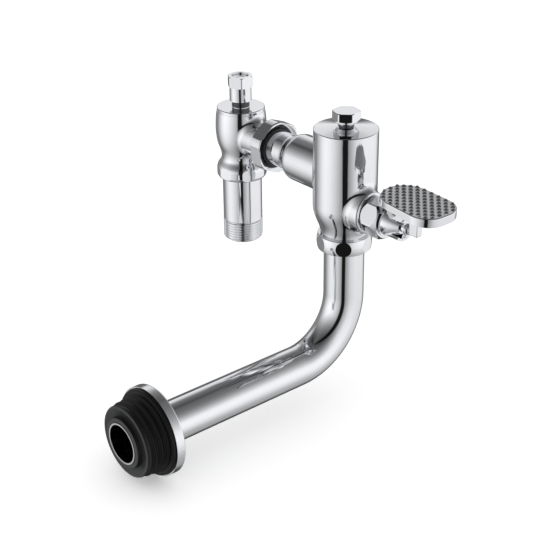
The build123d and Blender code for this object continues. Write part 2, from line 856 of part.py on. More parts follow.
def pedal_bracket():
    outline = [
        Polyline(
            (0, 0, nose_end_x),
            (0, 0, bracket_x),
            (gland_cavity_r - fit_gap, 0, bracket_x),
            (gland_cavity_r - fit_gap, 0, gland_face_x),
            (nose_collar_r, 0, gland_face_x),
            (nose_collar_r, 0, nose_x),
            (nose_r, 0, nose_x),
        ),
        Spline(
            (nose_r, 0, nose_x),
            (nose_end_r, 0, nose_end_x),
            tangents=((-nose_slope, 0, 1), (-nose_end_slope, 0, 1)),
        ),
        Line((nose_end_r, 0, nose_end_x), (0, 0, nose_end_x)),
    ]
    shape = along_x(turned(outline), 0, rod_z)
    lip = ring(lip_r, lip_inner_r, nose_x, nose_x + lip_length)
    reach = 2 * lip_r
    wedge = Polyline(
        (0, 0, nose_x),
        (reach * cos(radians(lip_half_angle)), reach * sin(radians(lip_half_angle)), nose_x),
        (reach * cos(radians(lip_half_angle)), -reach * sin(radians(lip_half_angle)), nose_x),
        close=True,
    )
    lip = lip & extrude(make_face(wedge), lip_length, dir=(0, 0, 1))
    shape += along_x(lip, 0, rod_z)
    foot_z = rod_z + rod_r + tongue_foot_r
    tongue = hull_plate(
        [
            (pin_x, pin_z, tongue_eye_r),
            (nose_x + tongue_foot_r, foot_z, tongue_foot_r),
            (nose_end_x - 3 * tongue_foot_r, foot_z, tongue_foot_r),
        ],
        2 * tongue_half,
    )
    shape += Pos(0, tongue_half, 0) * tongue
    shape -= Pos(pin_x, 0, pin_z) * Rot(90, 0, 0) * Cylinder(pin_r + run_gap, 4 * tongue_half)
    shape -= along_x(post(rod_r + run_gap, bracket_x, nose_end_x), 0, rod_z)
    groove_r = rod_r + seal_w + 3 * run_gap
    return shape - along_x(post(groove_r, rod_seal_x - run_gap, rod_seal_x + seal_t + run_gap), 0, rod_z)


def push_rod():
    shape = post(rod_pin_r, rod_tip_x, rod_shoulder_x)
    shape = fillet(shape.edges().group_by(Axis.Z)[0], rod_pin_r * 0.6)
    shape += post(rod_r, rod_shoulder_x, rod_head_x)
    shape += post(rod_collar_r, rod_collar_x, rod_collar_x + rod_collar_t)
    third = rod_head_length / 3
    head = post(rod_head_r, rod_head_x, rod_end_x)
    head = fillet(head.edges().group_by(Axis.Z)[-1], rod_head_r * rod_head_dome)
    head -= ring(rod_head_r, rod_head_groove_r, rod_head_x + third * 0.7, rod_head_x + third)
    head -= ring(rod_head_r, rod_head_groove_r, rod_head_x + third * 1.5, rod_head_x + third * 1.8)
    return along_x(shape + head, 0, rod_z)


def plate_outline(inset):
    """Tread outline as the hull of the heel circle and the two toe circles."""
    circles = [Pos(heel_offset, 0) * Circle(heel_r - inset)]
    circles += [Pos(toe_offset, side * toe_spread) * Circle(toe_r - inset) for side in (-1, 1)]
    return make_hull([edge for circle in circles for edge in circle.edges()])


def inside_outline(u, v, inset):
    """True where a point of the tread lies inside the outline by the inset."""
    heel = (u - heel_offset) ** 2 + v ** 2 < (heel_r - inset) ** 2
    toe_v = max(abs(v) - toe_spread, 0)
    toe = u > toe_offset and (u - toe_offset) ** 2 + toe_v ** 2 < (toe_r - inset) ** 2
    share = (u - heel_offset) / (toe_offset - heel_offset)
    side = 0 <= share <= 1 and abs(v) < heel_r + (toe_r + toe_spread - heel_r) * share - inset
    return heel or toe or side


def stud_places():
    """Square grid of studs, turned 45 degrees, inside the outline."""
    reach = int(2 * (heel_r + toe_r) / stud_pitch)
    places = []
    for i in range(-reach, reach + 1):
        for j in range(-reach, reach + 1):
            u = (i - j) * stud_pitch * sqrt(0.5)
            v = (i + j) * stud_pitch * sqrt(0.5)
            if inside_outline(u, v, stud_margin):
                places.append((u, v))
    return places


def pedal():
    heel_u = heel_offset - heel_r
    toe_u = toe_offset + toe_r
    plate = extrude(plate_outline(0), -rim_toe_t)
    wedge = Polyline(
        (heel_u, 0, 0), (heel_u, 0, -rim_heel_t), (toe_u, 0, -rim_toe_t), (toe_u, 0, 0), close=True
    )
    plate = plate & extrude(make_face(wedge), 2 * heel_r + toe_r, both=True, dir=(0, 1, 0))
    plate = fillet(plate.edges().group_by(Axis.Z)[-1], plate_edge_r)
    plate -= Pos(0, 0, -skin_t) * extrude(plate_outline(rim_wall), -rim_toe_t)
    foot = Rot(0, 0, 45) * Rectangle(stud_across, stud_across)
    tip = Pos(0, 0, stud_h) * Rot(0, 0, 45) * Rectangle(stud_tip_across, stud_tip_across)
    stud = loft([foot, tip]) + extrude(foot, -skin_t / 4)
    studs = Part() + [Pos(u, v, 0) * stud for u, v in stud_places()]
    plate += studs & Pos(0, 0, -skin_t / 4) * extrude(plate_outline(plate_edge_r), skin_t)
    placed = Pos(pedal_x, 0, pedal_z) * Rot(0, pedal_tilt, 0) * plate
    skin_low = pedal_z - skin_t
    corner_r = ear_eye_r / 2
    root_r = skin_t / 2
    ear = hull_plate(
        [
            (pin_x, pin_z, ear_eye_r),
            (pin_x + ear_reach, pin_z - ear_eye_r + corner_r, corner_r),
            (pin_x + 1.6 * ear_reach, skin_low - root_r / 2, root_r),
            (pin_x - ear_eye_r / 2, skin_low, root_r),
        ],
        ear_t,
    )
    placed += [Pos(0, ear_outer, 0) * ear, Pos(0, -ear_inner, 0) * ear]
    lug_high = skin_low + skin_t / 3
    lug = Pos(lug_x, 0, lug_bottom_z) * Box(
        lug_length, 2 * lug_half, lug_high - lug_bottom_z, align=(Align.MIN, Align.CENTER, Align.MIN)
    )
    lug = fillet(lug.edges().filter_by(Axis.Z) + lug.edges().group_by(Axis.Z)[0], lug_edge_r)
    placed += lug
    bore = Pos(pin_x, 0, pin_z) * Rot(90, 0, 0) * Cylinder(pin_r + fit_gap, 4 * ear_outer)
    return placed - bore


def pedal_pin():
    half = ear_outer + pin_overhang
    pin = Cylinder(pin_r, 2 * half)
    groove_z = ear_outer + fit_gap
    for side in (-1, 1):
        middle = side * (groove_z + clip_t / 2)
        groove = Cylinder(pin_r, clip_t + 2 * fit_gap) - Cylinder(pin_r - clip_groove, clip_t + 2 * fit_gap)
        pin -= Pos(0, 0, middle) * groove
    return Pos(pin_x, 0, pin_z) * Rot(90, 0, 0) * pin


def pin_clips():
    inner = pin_r - clip_groove + fit_gap
    clip = Cylinder(clip_r, clip_t) - Cylinder(inner, clip_t)
    clip -= Pos(clip_r, 0, 0) * Box(2 * clip_r, 1.6 * inner, clip_t)
    clips = []
    for side in (-1, 1):
        middle = side * (ear_outer + fit_gap + clip_t / 2)
        clips.append(Pos(pin_x, 0, pin_z) * Rot(90, 0, 0) * Pos(0, 0, middle) * clip)
    return Compound(children=clips)


def coupling_nut():
    height = coupling_high_z - coupling_low_z
    middle = (coupling_high_z + coupling_low_z) / 2
    shape = Pos(0, 0, middle) * (Sphere(coupling_r) & Box(3 * coupling_r, 3 * coupling_r, height))
    rims = shape.edges().filter_by(GeomType.CIRCLE)
    shape = fillet(rims, coupling_edge_r)
    flat = Pos(coupling_flat, 0, middle) * Box(
        coupling_r, 2 * coupling_r, height, align=(Align.MIN, Align.CENTER, Align.CENTER)
    )
    shape -= [Rot(0, 0, coupling_turn + 60 * k) * flat for k in range(6)]
    shape -= post(spigot_r + fit_gap, coupling_floor_z, coupling_high_z)
    return at_valve(shape - post(pipe_r + seat_gap, coupling_low_z, coupling_floor_z))


def coupling_ring():
    return at_valve(ring(spigot_r - fit_gap, pipe_r + fit_gap, coupling_floor_z, coupling_seal_z))


def coupling_seal():
    return at_valve(ring(spigot_r - fit_gap, pipe_r + fit_gap, coupling_seal_z, spigot_end_z))


def flush_pipe():
    drop_end = outlet_z + bend_r
    drop = Line((0, 0, pipe_top_z), (0, 0, drop_end))
    bend = ThreePointArc(
        (0, 0, drop_end),
        (0, -bend_r * (1 - sqrt(0.5)), outlet_z + bend_r * (1 - sqrt(0.5))),
        (0, -bend_r, outlet_z),
    )
    run = Line((0, -bend_r, outlet_z), (0, -outlet_reach, outlet_z))
    wall = Circle(pipe_r) - Circle(pipe_r - pipe_wall)
    section = Plane(origin=(0, 0, pipe_top_z), z_dir=(0, 0, -1)) * wall
    return at_valve(sweep(section, path=Wire([*drop.edges(), *bend.edges(), *run.edges()])))


def wall_flange():
    front = flange_back + flange_depth
    shape = post(flange_r, flange_back, front)
    shape = fillet(shape.edges().group_by(Axis.Z)[0], flange_edge_r)
    shape -= post(flange_r - flange_wall, flange_back + flange_wall, front)
    return along_outlet(shape - post(pipe_r + 2 * run_gap, flange_back, front))


def pan_spud():
    back = flange_back + flange_wall + seat_gap
    lip_back = spud_front - spud_lip_length
    points = [(pipe_r + fit_gap, back), (spud_disc_r, back), (spud_disc_r, spud_disc_front)]
    points += [(spud_root_r, spud_disc_front)]
    gap = spud_rib_pitch - spud_rib_t
    for k in range(spud_ribs):
        rib_z = lip_back - (spud_ribs - k) * spud_rib_pitch
        points += [(spud_root_r, rib_z), (spud_rib_r, rib_z + gap / 4)]
        points += [(spud_rib_r, rib_z + spud_rib_t - gap / 4), (spud_root_r, rib_z + spud_rib_t)]
    points += [(spud_root_r, lip_back), (spud_r, lip_back + gap / 4)]
    points += [(spud_r, spud_front - spud_edge_r), (spud_r - spud_edge_r, spud_front)]
    points += [(spud_lip_inner_r, spud_front), (spud_lip_inner_r, spud_front - spud_groove_depth)]
    points += [(spud_collar_r, spud_front - spud_groove_depth), (spud_collar_r, spud_front - spud_edge_r)]
    points += [(spud_collar_r - spud_edge_r, spud_front), (pipe_r + fit_gap, spud_front)]
    return along_outlet(lathe(points))


pieces = {
    "stop_body": stop_body(),
    "inlet_tail": inlet_tail(),
    "tail_gasket": tail_gasket(),
    "stop_bonnet": stop_bonnet(),
    "stop_bonnet_seal": stop_bonnet_seal(),
    "stop_spindle_seal": stop_spindle_seal(),
    "stop_spindle": stop_spindle(),
    "stop_cap": stop_cap(),
    "stop_cap_screw": stop_cap_screw(),
    "stop_plunger": stop_plunger(),
    "stop_washer": stop_washer(),
    "stop_washer_screw": stop_washer_screw(),
    "union_nut": union_nut(),
    "union_packing": union_packing(),
    "union_slip_ring": union_slip_ring(),
    "valve_body": valve_body(),
    "body_cover": body_cover(),
    "cover_seal": cover_seal(),
    "regulating_seal": regulating_seal(),
    "regulating_spindle": regulating_spindle(),
    "regulating_cap": regulating_cap(),
    "stroke_limiter": stroke_limiter(),
    "seat_ring": seat_ring(),
    "piston": piston(),
    "main_seat_washer": main_seat_washer(),
    "washer_retainer": washer_retainer(),
    "piston_cup": piston_cup(),
    "cup_retainer": cup_retainer(),
    "refill_jet": refill_jet(),
    "relief_valve": relief_valve(),
    "relief_washer": relief_washer(),
    "gland_washer": gland_washer(),
    "pedal_gland": pedal_gland(),
    "rod_spring": rod_spring(),
    "rod_seal": rod_seal(),
    "pedal_bracket": pedal_bracket(),
    "push_rod": push_rod(),
    "pedal": pedal(),
    "pedal_pin": pedal_pin(),
    "pin_clips": pin_clips(),
    "coupling_nut": coupling_nut(),
    "coupling_ring": coupling_ring(),
    "coupling_seal": coupling_seal(),
    "flush_pipe": flush_pipe(),
    "wall_flange": wall_flange(),
    "pan_spud": pan_spud(),
}

for name, shape in pieces.items():
    export_step(shape, f"parts/{name}.step")
    print(name, len(shape.solids()), round(shape.volume, 1))
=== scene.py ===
# %% [markdown]
# # A foot-pedal flush valve, dressed for its picture
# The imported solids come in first. They are the fixed frame: every piece that is made below sits where they are and
# rides on one of their bodies. Blender works in metres here, so a size in millimetres is multiplied by MM.

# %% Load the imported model
import math

import bpy
import numpy as np
from mathutils import Matrix, Vector


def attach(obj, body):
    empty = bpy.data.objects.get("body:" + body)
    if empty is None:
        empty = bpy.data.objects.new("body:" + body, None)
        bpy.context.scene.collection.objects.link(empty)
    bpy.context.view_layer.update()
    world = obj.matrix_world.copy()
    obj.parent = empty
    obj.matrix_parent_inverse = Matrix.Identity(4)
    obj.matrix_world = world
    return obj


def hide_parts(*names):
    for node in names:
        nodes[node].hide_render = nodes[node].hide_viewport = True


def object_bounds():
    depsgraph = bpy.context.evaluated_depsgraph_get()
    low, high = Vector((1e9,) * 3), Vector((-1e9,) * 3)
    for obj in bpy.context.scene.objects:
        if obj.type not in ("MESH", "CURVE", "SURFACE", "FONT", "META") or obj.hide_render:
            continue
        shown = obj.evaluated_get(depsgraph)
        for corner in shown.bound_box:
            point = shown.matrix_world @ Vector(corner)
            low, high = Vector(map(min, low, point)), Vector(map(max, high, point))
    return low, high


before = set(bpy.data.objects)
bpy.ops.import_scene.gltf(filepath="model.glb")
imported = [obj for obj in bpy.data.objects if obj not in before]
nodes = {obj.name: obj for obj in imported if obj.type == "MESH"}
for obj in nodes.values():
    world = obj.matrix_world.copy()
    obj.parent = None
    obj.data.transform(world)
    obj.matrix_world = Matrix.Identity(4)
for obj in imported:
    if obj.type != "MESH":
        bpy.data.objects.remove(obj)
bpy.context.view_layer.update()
MM = 0.001

# %% [markdown]
# The camera stands to the right of the pipe's end and about 27 degrees above the level. It could be set by eye, but
# a ring that is seen at an angle is an ellipse whose shape gives that angle. So its place was worked out from the
# edges of the round parts. The lens is long, and the upright pipes stay nearly upright in the picture.

# %% Camera
VALVE_X = 126.3
PICTURE_PIXELS, FOCAL_PIXELS = 560, 1314.33
SENSOR_MM = 36.0
CAMERA_TURN, CAMERA_HEIGHT, CAMERA_ROLL = 49.84, 27.11, -0.46
RIGHT_OF_COVER, ABOVE_COVER, BACK_FROM_COVER = -49.52, -113.78, 984.02


def looking_axes(turn, height, roll):
    """Right, up and backward vectors of a camera, from its turn round Z, its height angle and its roll."""
    turn, height, roll = np.radians([turn, height, roll])
    back = np.array([np.sin(turn) * np.cos(height), -np.cos(turn) * np.cos(height), np.sin(height)])
    level = np.array([np.cos(turn), np.sin(turn), 0.0])
    upward = np.cross(back, level)
    right = level * np.cos(roll) + upward * np.sin(roll)
    return right, -level * np.sin(roll) + upward * np.cos(roll), back


right, upward, back = looking_axes(CAMERA_TURN, CAMERA_HEIGHT, CAMERA_ROLL)
cover_centre = np.array([VALVE_X, 0.0, 132.5])
eye = (cover_centre + RIGHT_OF_COVER * right + ABOVE_COVER * upward + BACK_FROM_COVER * back) * MM
camera = bpy.data.objects.new("camera", bpy.data.cameras.new("camera"))
bpy.context.scene.collection.objects.link(camera)
camera.data.sensor_width = SENSOR_MM
camera.data.lens = FOCAL_PIXELS * SENSOR_MM / PICTURE_PIXELS
camera.data.clip_start, camera.data.clip_end = 0.05, 50.0
axes = np.column_stack([right, upward, back])
camera.matrix_world = Matrix([[*row, place] for row, place in zip(axes, eye)] + [[0.0, 0.0, 0.0, 1.0]])
bpy.context.scene.camera = camera
print("camera at", np.round(eye, 3), "m, lens", round(camera.data.lens, 1), "mm")

# %% [markdown]
# Materials are node trees. They could be wired node by node, but then the sums are hard to read. A small class lets
# a socket stand in an ordinary Python expression, so that `1 - mask` or `grain * 0.2` adds the Math nodes by itself.
# A second class holds a tree and adds every other kind of node through one method.


# %% Node helpers
class Wire:
    """An output socket in a Python expression. Each operator adds one Math node."""

    def __init__(self, bench, socket):
        self.bench = bench
        self.socket = socket

    def _math(self, operation, first, second):
        return self.bench.node("ShaderNodeMath", {"operation": operation}, {0: first, 1: second})

    def __add__(self, other):
        return self._math("ADD", self, other)

    def __sub__(self, other):
        return self._math("SUBTRACT", self, other)

    def __rsub__(self, other):
        return self._math("SUBTRACT", other, self)

    def __mul__(self, other):
        return self._math("MULTIPLY", self, other)

    __radd__ = __add__
    __rmul__ = __mul__


class Bench:
    """A node tree under work. Its one method adds a node, sets it, and feeds its sockets."""

    def __init__(self, tree):
        self.tree = tree
        tree.nodes.clear()

    def node(self, kind, settings=None, sockets=None, output=0):
        """Adds a node: settings first, then numbers or wires for its sockets. Returns one output as a wire."""
        made = self.tree.nodes.new(kind)
        for name, value in (settings or {}).items():
            if name == "stops":
                ramp = made.color_ramp
                while len(ramp.elements) < len(value):
                    ramp.elements.new(0.5)
                for element, (place, level) in zip(ramp.elements, value):
                    element.position = place
                    element.color = (level, level, level, 1.0)
            elif name == "ease":
                made.color_ramp.interpolation = value
            else:
                setattr(made, name, value)
        for name, value in (sockets or {}).items():
            if isinstance(value, Wire):
                self.tree.links.new(value.socket, made.inputs[name])
            else:
                made.inputs[name].default_value = value
        return Wire(self, made.outputs[output]) if len(made.outputs) else None


print("node helpers ready")

# %% [markdown]
# Polished chrome shows nothing but its surroundings, so these matter more than the metal's own colour. They could
# be big lit panels round the object, but a function of direction in the world's shader needs no mesh and has no
# noise. It is written from two angles: how far a direction lies to the side of the camera, and how far it rises.

# %% World: a direction as two numbers
world = bpy.data.worlds.new("light_tent")
bpy.context.scene.world = world
world.use_nodes = True
tent = Bench(world.node_tree)
turn_to_camera = math.radians(CAMERA_TURN)
direction = tent.node("ShaderNodeTexCoord")
sideways = tent.node("ShaderNodeVectorMath", {"operation": "DOT_PRODUCT"},
                     {0: direction, 1: (math.cos(turn_to_camera), math.sin(turn_to_camera), 0.0)}, output=1)
frontways = tent.node("ShaderNodeVectorMath", {"operation": "DOT_PRODUCT"},
                      {0: direction, 1: (math.sin(turn_to_camera), -math.cos(turn_to_camera), 0.0)}, output=1)
around = tent.node("ShaderNodeMath", {"operation": "ARCTAN2"}, {0: sideways, 1: frontways})
around = around * (0.5 / math.pi) + 0.5
rising = tent.node("ShaderNodeSeparateXYZ", None, {0: direction}, output=2) * 0.5 + 0.5


def by_turn(stops):
    """Ramp stops from (degrees away from the camera, with its right side counted up, brightness) pairs."""
    return [(0.5 + degrees / 360.0, level) for degrees, level in stops]


def by_height(stops):
    """Ramp stops from (degrees above the level, brightness) pairs, on the direction's height from -1 to 1."""
    return [(0.5 + 0.5 * math.sin(math.radians(degrees)), level) for degrees, level in stops]


print("directions are counted from", CAMERA_TURN, "degrees round Z")

# %% [markdown]
# The tent is brightest at eye level, and greyer towards the top and the bottom. Its front has a narrow dark opening
# for the lens, which makes the black stripe down every upright pipe. Two dim strips behind the object draw the thin
# dark lines along the edges. A lit patch at the back is what the flat tops of the caps show.

# %% World: the tent's brightness
wall = tent.node("ShaderNodeValToRGB", {"ease": "LINEAR", "stops": by_turn([
    (-180, 0.22), (-168, 0.10), (-156, 0.24), (-128, 0.26), (-116, 0.50), (-92, 0.96), (-78, 1.08), (-60, 1.0),
    (-40, 0.78), (-24, 0.55), (-16, 0.38), (-12.5, 0.01), (3.5, 0.01), (7, 0.34), (20, 0.56), (34, 0.82),
    (64, 0.98), (112, 0.98), (128, 0.90), (146, 0.26), (168, 0.10), (180, 0.22)])}, {0: around})
level_light = tent.node("ShaderNodeValToRGB", {"ease": "LINEAR", "stops": by_height([
    (-89, 0.35), (-54, 0.44), (-45, 0.55), (-33, 0.78), (-20, 0.98), (-6, 1.06), (8, 0.98), (22, 0.62),
    (35, 0.36), (47, 0.22), (60, 0.14), (89, 0.10)])}, {0: rising})
back_light = tent.node("ShaderNodeValToRGB", {"ease": "LINEAR", "stops": by_height([
    (4, 0.0), (9, 0.12), (15, 0.88), (28, 0.78), (34, 0.55), (42, 0.22), (60, 0.10)])}, {0: rising})
behind = tent.node("ShaderNodeValToRGB", {"ease": "EASE", "stops": by_turn([
    (-180, 1.0), (-150, 0.9), (-110, 0.0), (110, 0.0), (150, 0.9), (180, 1.0)])}, {0: around})
mirrored = tent.node("ShaderNodeMath", {"operation": "MAXIMUM"}, {0: wall * level_light, 1: back_light * behind})
print("four ramps make the tent")

# %% [markdown]
# Only reflections see the tent. The camera sees plain white, and matt surfaces get a plain even light, so that a
# colour renders about as it is written. The Light Path node tells these apart.

# %% World: who sees what
PLAIN_LEVEL = 0.9
COOL_TINT = 1.01
tent_colour = tent.node("ShaderNodeCombineXYZ", None, {0: mirrored, 1: mirrored, 2: mirrored * COOL_TINT})
mirrored_light = tent.node("ShaderNodeBackground", None, {"Color": tent_colour, "Strength": 1.0})
plain_light = tent.node("ShaderNodeBackground", None, {"Color": (1.0, 1.0, 1.0, 1.0), "Strength": PLAIN_LEVEL})
white_ground = tent.node("ShaderNodeBackground", None, {"Color": (1.0, 1.0, 1.0, 1.0), "Strength": 1.0})
seen_by_camera = tent.node("ShaderNodeLightPath", None, None, output=0)
seen_in_gloss = tent.node("ShaderNodeLightPath", None, None, output=3)
seen_through = tent.node("ShaderNodeLightPath", None, None, output=6)
light = tent.node("ShaderNodeMixShader", None, {0: seen_in_gloss, 1: plain_light, 2: mirrored_light})
light = tent.node("ShaderNodeMixShader", None, {0: seen_by_camera + seen_through, 1: light, 2: white_ground})
tent.node("ShaderNodeOutputWorld", None, {0: light})
bpy.context.scene.view_settings.view_transform = "Standard"
print("light tent with", len(world.node_tree.nodes), "nodes")

# %% [markdown]
# The floor is a plain pale sheet just under the lowest point. A white world alone would leave the object without a
# shadow. The sheet's own faint glow keeps it white to the camera wherever the valve doesn't shade it. It stays out
# of the reflections, because the tent stands for it there.

# %% Floor
FLOOR_GAP = 0.4 * MM
FLOOR_REACH = 4.0
FLOOR_GLOW = 0.30
floor_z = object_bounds()[0].z - FLOOR_GAP
floor_mesh = bpy.data.meshes.new("floor")
corners = [(x * FLOOR_REACH, y * FLOOR_REACH, floor_z) for x, y in ((-1, -1), (1, -1), (1, 1), (-1, 1))]
floor_mesh.from_pydata(corners, [], [(0, 1, 2, 3)])
floor = bpy.data.objects.new("floor", floor_mesh)
bpy.context.scene.collection.objects.link(floor)
paper = bpy.data.materials.new("pale_floor")
paper.use_nodes = True
sheet = Bench(paper.node_tree)
grain = sheet.node("ShaderNodeTexNoise", None, {
    "Vector": sheet.node("ShaderNodeTexCoord", None, None, output=3), "Scale": 260.0, "Detail": 3.0})
relief = sheet.node("ShaderNodeBump", None, {"Height": grain, "Strength": 0.05, "Distance": 0.2 * MM})
matt = sheet.node("ShaderNodeBsdfPrincipled", None, {
    "Base Color": (0.92, 0.92, 0.92, 1.0), "Roughness": grain * 0.1 + 0.75, "Normal": relief})
glow = sheet.node("ShaderNodeEmission", None, {"Color": (1.0, 1.0, 1.0, 1.0), "Strength": FLOOR_GLOW})
sheet.node("ShaderNodeOutputMaterial", None, {0: sheet.node("ShaderNodeAddShader", None, {0: matt, 1: glow})})
floor.data.materials.append(paper)
floor.visible_glossy = False
print("floor at", round(floor_z, 4), "m")

# %% [markdown]
# Most of what shows is chrome plate on brass: cast and polished on the two bodies, turned or drawn on the nuts, caps
# and pipe. One grey metal would do from far off. Close by, a casting keeps a slight waviness from its grinding,
# which bends the reflections, and all the plate carries fine wipe marks that only change the gloss. Noise on the
# object's own coordinates gives both, and needs no picture. A mask can give a part of the surface a satin finish, or
# darken it with painted shade.

# %% Chrome
BRIGHT_LOW, BRIGHT_HIGH = (0.84, 0.855, 0.88, 1.0), (0.90, 0.905, 0.915, 1.0)
MIRROR_ROUGHNESS, DULL_ROUGHNESS = 0.015, 0.2
WIPE_STRETCH = (900.0, 900.0, 90.0)


def chrome(name, waviness, wave_size, haze, satin_or_shade_mask=None, satin_or_shade_colour=None):
    """Chrome plate: a mirror with a slow waviness (bump), fine wipe marks and a faint haze (roughness).

    The mask makes a 0 to 1 wire from the bench and the place. Where it is 1, the plate takes the given colour and a
    rougher gloss: a satin finish, or painted shade.
    """
    material = bpy.data.materials.new(name)
    material.use_nodes = True
    plate = Bench(material.node_tree)
    place = plate.node("ShaderNodeTexCoord", None, None, output=3)
    slow = plate.node("ShaderNodeTexNoise", None, {"Vector": place, "Scale": 1.0 / wave_size, "Detail": 1.0})
    stretched = plate.node("ShaderNodeMapping", {"vector_type": "POINT"}, {0: place, "Scale": WIPE_STRETCH})
    wipes = plate.node("ShaderNodeTexNoise", None, {
        "Vector": stretched, "Scale": 1.0, "Detail": 4.0, "Roughness": 0.7})
    cloud = plate.node("ShaderNodeTexNoise", None, {"Vector": place, "Scale": 60.0, "Detail": 3.0})
    tint = plate.node("ShaderNodeMix", {"data_type": "RGBA"}, {0: cloud, 6: BRIGHT_LOW, 7: BRIGHT_HIGH}, output=2)
    roughness = wipes * haze + cloud * (0.5 * haze) + MIRROR_ROUGHNESS
    # The mask's colour is a satin finish on the tread, and painted shade on the necks under the caps.
    if satin_or_shade_mask:
        satin_or_shade = satin_or_shade_mask(plate, place)
        tint = plate.node("ShaderNodeMix", {"data_type": "RGBA"}, {0: satin_or_shade, 6: tint, 7: satin_or_shade_colour}, output=2)
        roughness = roughness + satin_or_shade * DULL_ROUGHNESS
    bump = plate.node("ShaderNodeBump", None, {"Height": slow, "Strength": 1.0, "Distance": waviness * MM})
    metal = plate.node("ShaderNodeBsdfPrincipled", None, {
        "Metallic": 1.0, "Base Color": tint, "Roughness": roughness, "Normal": bump})
    plate.node("ShaderNodeOutputMaterial", None, {0: metal})
    return material


TURNED = (0.008, 0.010, 0.04)
cast_chrome = chrome("cast_chrome", 0.05, 0.012, 0.05)
turned_chrome = chrome("turned_chrome", *TURNED)
spun_chrome = chrome("spun_chrome", 0.03, 0.015, 0.22)
print("chrome for castings, turned parts and the spun flange")

# %% [markdown]
# The other materials are rubber, brass, steel and nylon. Each is one even colour on the real pieces, but a flat
# colour looks like plastic in a picture. So each wanders a little between two tones, and a fine noise gives the
# grain of the mould or of the tool.


# %% Rubber, brass, steel and nylon
def plain_finish(name, colours, gloss, metal, grain_size, grain_depth, shine=0.5, painted_light_mask=None, painted_light_colour=None):
    """A finish whose colour wanders between two tones and whose grain is a fine bump.

    The mask makes a 0 to 1 wire from the bench and the place. Where it is 1, the finish has the paler colour, which
    is painted light.
    """
    material = bpy.data.materials.new(name)
    material.use_nodes = True
    bench = Bench(material.node_tree)
    place = bench.node("ShaderNodeTexCoord", None, None, output=3)
    fine = bench.node("ShaderNodeTexNoise", None, {
        "Vector": place, "Scale": 1.0 / grain_size, "Detail": 5.0, "Roughness": 0.65})
    broad = bench.node("ShaderNodeTexNoise", None, {"Vector": place, "Scale": 90.0, "Detail": 2.0})
    tone = bench.node("ShaderNodeMix", {"data_type": "RGBA"}, {
        0: broad, 6: (*colours[0], 1.0), 7: (*colours[1], 1.0)}, output=2)
    # The mask paints light: where it is 1, the pale colour stands in for light falling on that part.
    if painted_light_mask:
        pale = painted_light_mask(bench, place)
        tone = bench.node("ShaderNodeMix", {"data_type": "RGBA"}, {0: pale, 6: tone, 7: painted_light_colour}, output=2)
    bump = bench.node("ShaderNodeBump", None, {"Height": fine, "Strength": 1.0, "Distance": grain_depth * MM})
    surface = bench.node("ShaderNodeBsdfPrincipled", None, {
        "Metallic": metal, "Base Color": tone, "Roughness": fine * 0.15 + gloss, "Normal": bump,
        "Specular IOR Level": shine})
    bench.node("ShaderNodeOutputMaterial", None, {0: surface})
    return material


rubber = plain_finish("black_rubber", ((0.010, 0.010, 0.011), (0.016, 0.016, 0.017)), 0.38, 0.0, 0.0006, 0.02)
brass = plain_finish("turned_brass", ((0.72, 0.50, 0.20), (0.80, 0.58, 0.27)), 0.22, 1.0, 0.0008, 0.004)
steel = plain_finish("stainless_steel", ((0.58, 0.57, 0.55), (0.66, 0.65, 0.63)), 0.20, 1.0, 0.0006, 0.003)
nylon = plain_finish("dark_nylon", ((0.016, 0.016, 0.018), (0.028, 0.028, 0.030)), 0.35, 0.0, 0.0010, 0.004)
print("finishes:", rubber.name, brass.name, steel.name, nylon.name)

# %% [markdown]
# Every node of the solid model came in with a plain material that is named after its slot. That name says which
# finish the node gets here. The two castings and the loose flange are chrome too, but get a chrome of their own.

# %% Dress the nodes of the solid model
finish_of_slot = {"chrome": turned_chrome, "brass": brass, "rubber": rubber, "steel": steel, "plastic": nylon}
slot_of_node = {name: node.data.materials[0].name.split(".")[0] for name, node in nodes.items()}


def dress(name, finish):
    """Gives a node of the solid model one finish in place of what it has."""
    nodes[name].data.materials.clear()
    nodes[name].data.materials.append(finish)


for name, slot_name in slot_of_node.items():
    dress(name, finish_of_slot[slot_name])
dress("stop_body", cast_chrome)
dress("valve_body", cast_chrome)
dress("wall_flange", spun_chrome)
print({slot_name: list(slot_of_node.values()).count(slot_name) for slot_name in finish_of_slot})

# %% [markdown]
# Two places on the plated pieces aren't bright. The pedal's top, where the studs stand, is satin from the mould.
# The necks under the two caps are painted dark: this is painted shade from the caps above them, and their gloss is
# made rougher too. Cutting the mesh there would change the solid's node, so a mask in the material says where these
# places are: a plane for the top of the pedal, an upright cylinder for each neck.

# %% Satin tread and painted shade on the necks
TREAD_X, TREAD_Z, TREAD_TILT = 202.8, 97.73, math.radians(3.06)
TREAD_MARGIN = 0.2 * MM
# The second colour is not the metal's own: it is painted shade for the necks under the caps.
SATIN, NECK_SHADE_COLOUR = (0.56, 0.565, 0.575, 1.0), (0.13, 0.13, 0.135, 1.0)
NECKS = (("stop_bonnet", 0.0, 116.9, 7.6), ("body_cover", VALVE_X, 134.0, 6.2))


def in_node(name, x, z):
    """A point of the shared frame, given in millimetres at y = 0, in a node's own coordinates."""
    return (nodes[name].matrix_world.inverted() @ Vector((x * MM, 0.0, z * MM)))[:]


def tread_mask(plate, place):
    """1 above the tread's plane and down to the margin under it: the dot product with its normal says how high."""
    from_tread = plate.node("ShaderNodeVectorMath", {"operation": "SUBTRACT"}, {
        0: place, 1: in_node("pedal", TREAD_X, TREAD_Z)})
    rise = plate.node("ShaderNodeVectorMath", {"operation": "DOT_PRODUCT"}, {
        0: from_tread, 1: (math.sin(TREAD_TILT), 0.0, math.cos(TREAD_TILT))}, output=1)
    return plate.node("ShaderNodeMath", {"operation": "GREATER_THAN"}, {0: rise, 1: -TREAD_MARGIN})


